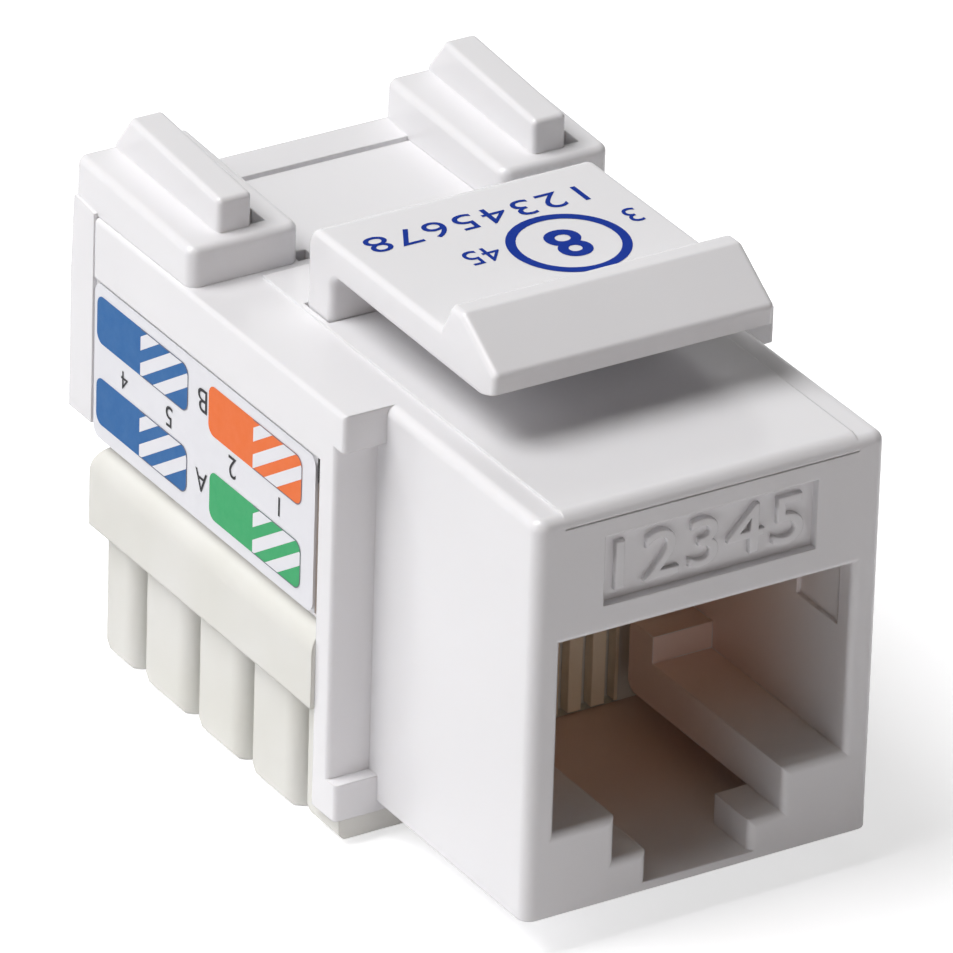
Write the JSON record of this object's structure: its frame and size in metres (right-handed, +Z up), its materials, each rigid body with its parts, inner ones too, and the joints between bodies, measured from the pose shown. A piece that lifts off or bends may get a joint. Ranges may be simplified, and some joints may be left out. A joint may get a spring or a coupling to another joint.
{
  "type": "keystone jack",
  "caption": "Snap-in keystone jack: white housing with a modular plug port and sprung latch arm, and a punch-down wiring block underneath with colour-coded side labels.",
  "frame": {"origin": "middle of the underside of the bounding box: on the jack's middle plane, half-way along its length, at the level of the tower tips it stands on", "axes": "+X to the right seen from the plug port, +Y from the port back to the rear cover, +Z up to the latch arm; the port faces -Y and the punch-down towers point down"},
  "size_m": [0.0186, 0.03, 0.0224],
  "materials": {
    "white_abs": "glossy moulded",
    "cream_pbt": "matt moulded",
    "board_laminate": "satin solder mask",
    "gold_plated_bronze": "bright gold plate",
    "tinned_bronze": "dull tin plate",
    "label_paper": "coated paper"
  },
  "bodies": {
    "jack": {"front_housing": "white_abs", "rear_cover": "white_abs", "wiring_block": "cream_pbt", "circuit_board": "board_laminate", "contact_carrier": "cream_pbt", "contact_lead_1": "gold_plated_bronze", "contact_lead_2": "gold_plated_bronze", "contact_lead_3": "gold_plated_bronze", "contact_lead_4": "gold_plated_bronze", "contact_lead_5": "gold_plated_bronze", "contact_lead_6": "gold_plated_bronze", "contact_lead_7": "gold_plated_bronze", "contact_lead_8": "gold_plated_bronze", "terminal_1": "tinned_bronze", "terminal_2": "tinned_bronze", "terminal_3": "tinned_bronze", "terminal_4": "tinned_bronze", "terminal_5": "tinned_bronze", "terminal_6": "tinned_bronze", "terminal_7": "tinned_bronze", "terminal_8": "tinned_bronze", "label_left": "label_paper", "label_right": "label_paper"},
    "latch": {"latch_arm": "white_abs"},
    "spring_1": {"contact_arm_1": "gold_plated_bronze"},
    "spring_2": {"contact_arm_2": "gold_plated_bronze"},
    "spring_3": {"contact_arm_3": "gold_plated_bronze"},
    "spring_4": {"contact_arm_4": "gold_plated_bronze"},
    "spring_5": {"contact_arm_5": "gold_plated_bronze"},
    "spring_6": {"contact_arm_6": "gold_plated_bronze"},
    "spring_7": {"contact_arm_7": "gold_plated_bronze"},
    "spring_8": {"contact_arm_8": "gold_plated_bronze"}
  },
  "joints": [
    {"name": "latch_flex", "type": "hinge", "parent": "jack", "child": "latch", "pos_m": [0, 0.0026, 0.01795], "axis": [1, 0, 0], "range_deg": [0, 8], "stiffness_Nm_per_rad": 0.4},
    {"name": "contact_flex_1", "type": "hinge", "parent": "jack", "child": "spring_1", "pos_m": [-0.00356, -0.01045, 0.0135], "axis": [1, 0, 0], "range_deg": [0, 9], "stiffness_Nm_per_rad": 0.03},
    {"name": "contact_flex_2", "type": "hinge", "parent": "jack", "child": "spring_2", "pos_m": [-0.00254, -0.01045, 0.0135], "axis": [1, 0, 0], "range_deg": [0, 9], "stiffness_Nm_per_rad": 0.03},
    {"name": "contact_flex_3", "type": "hinge", "parent": "jack", "child": "spring_3", "pos_m": [-0.00152, -0.01045, 0.0135], "axis": [1, 0, 0], "range_deg": [0, 9], "stiffness_Nm_per_rad": 0.03},
    {"name": "contact_flex_4", "type": "hinge", "parent": "jack", "child": "spring_4", "pos_m": [-0.00051, -0.01045, 0.0135], "axis": [1, 0, 0], "range_deg": [0, 9], "stiffness_Nm_per_rad": 0.03},
    {"name": "contact_flex_5", "type": "hinge", "parent": "jack", "child": "spring_5", "pos_m": [0.00051, -0.01045, 0.0135], "axis": [1, 0, 0], "range_deg": [0, 9], "stiffness_Nm_per_rad": 0.03},
    {"name": "contact_flex_6", "type": "hinge", "parent": "jack", "child": "spring_6", "pos_m": [0.00152, -0.01045, 0.0135], "axis": [1, 0, 0], "range_deg": [0, 9], "stiffness_Nm_per_rad": 0.03},
    {"name": "contact_flex_7", "type": "hinge", "parent": "jack", "child": "spring_7", "pos_m": [0.00254, -0.01045, 0.0135], "axis": [1, 0, 0], "range_deg": [0, 9], "stiffness_Nm_per_rad": 0.03},
    {"name": "contact_flex_8", "type": "hinge", "parent": "jack", "child": "spring_8", "pos_m": [0.00356, -0.01045, 0.0135], "axis": [1, 0, 0], "range_deg": [0, 9], "stiffness_Nm_per_rad": 0.03}
  ]
}
